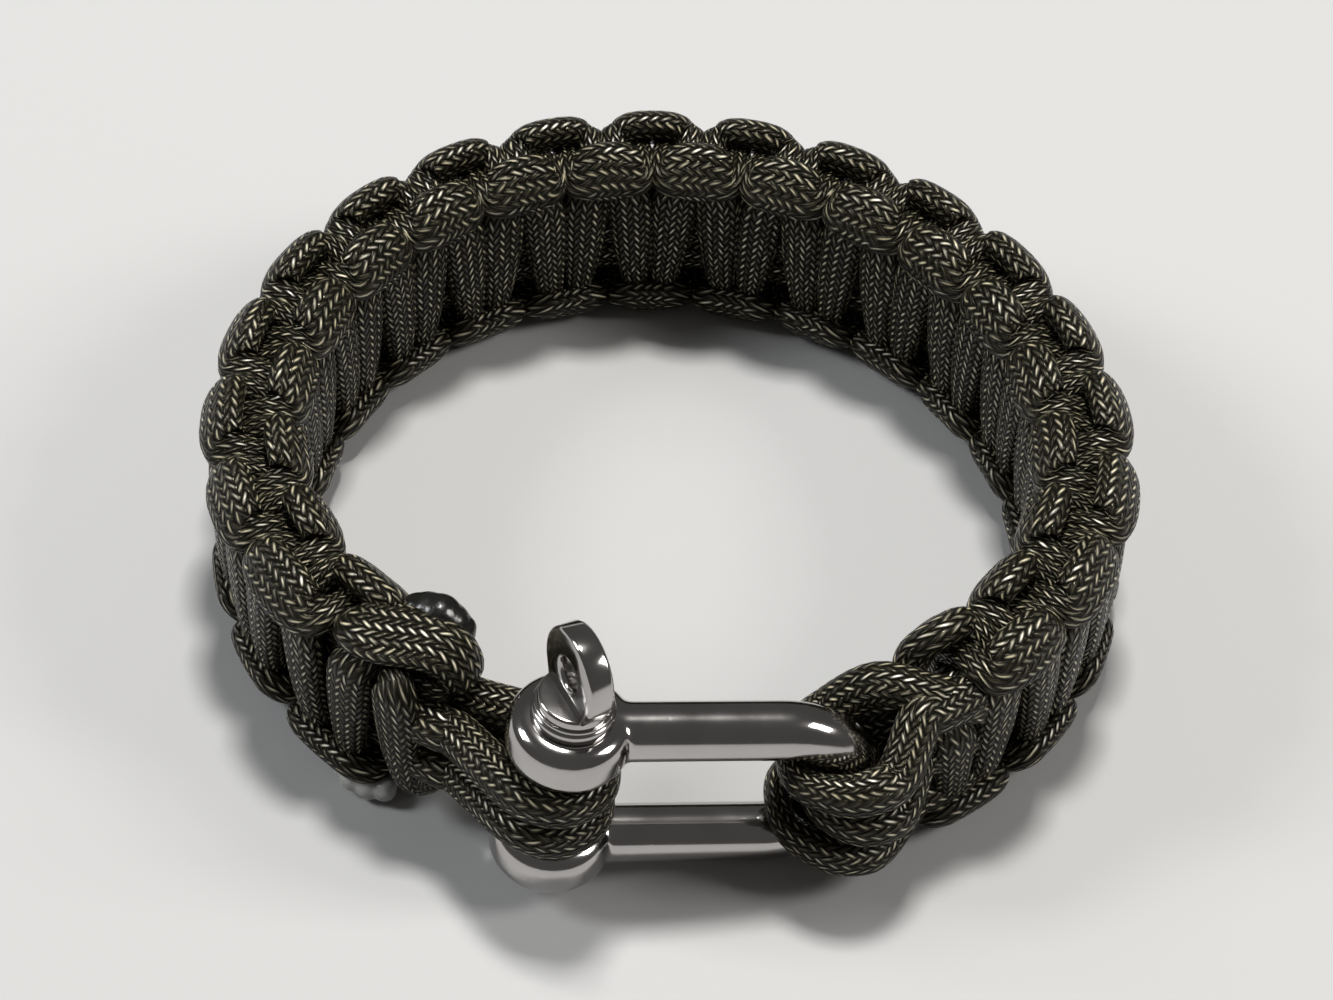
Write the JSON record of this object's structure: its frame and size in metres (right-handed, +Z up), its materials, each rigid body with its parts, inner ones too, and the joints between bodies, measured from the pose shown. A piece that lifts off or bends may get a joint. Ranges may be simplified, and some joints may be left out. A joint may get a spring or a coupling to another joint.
{
  "type": "paracord bracelet",
  "caption": "Paracord bracelet in cobra weave, dark olive with cream flecks, closed by a small polished steel D-shackle with a screw pin.",
  "frame": {"origin": "middle of the wrist opening, at the level of the surface that the bracelet lies on", "axes": "+Z up, along the axis of the ring; +X to the right with the shackle towards the viewer; +Y away from the shackle"},
  "size_m": [0.0853, 0.0826, 0.0322],
  "materials": {
    "cord": "braided nylon sheath, dark olive with cream flecks",
    "steel": "polished stainless steel with fine pits",
    "melted_black": "melted nylon, glossy black",
    "melted_grey": "melted nylon, glossy grey"
  },
  "bodies": {
    "bracelet": {"woven_band": "cord", "pin_loop_upper": "cord", "pin_loop_lower": "cord", "bow_loop_upper": "cord", "bow_loop_middle": "cord", "bow_loop_lower": "cord", "shackle_body": "steel", "melted_end_top": "melted_black", "melted_end_bottom": "melted_grey"},
    "screw_pin": {"shackle_pin": "steel"}
  },
  "joints": [
    {"name": "pin_turn", "type": "hinge", "parent": "bracelet", "child": "screw_pin", "pos_m": [-0.0083, -0.0344, 0.0124], "axis": [0.1069, 0.015, 0.9942], "range_deg": [0, 180]}
  ]
}
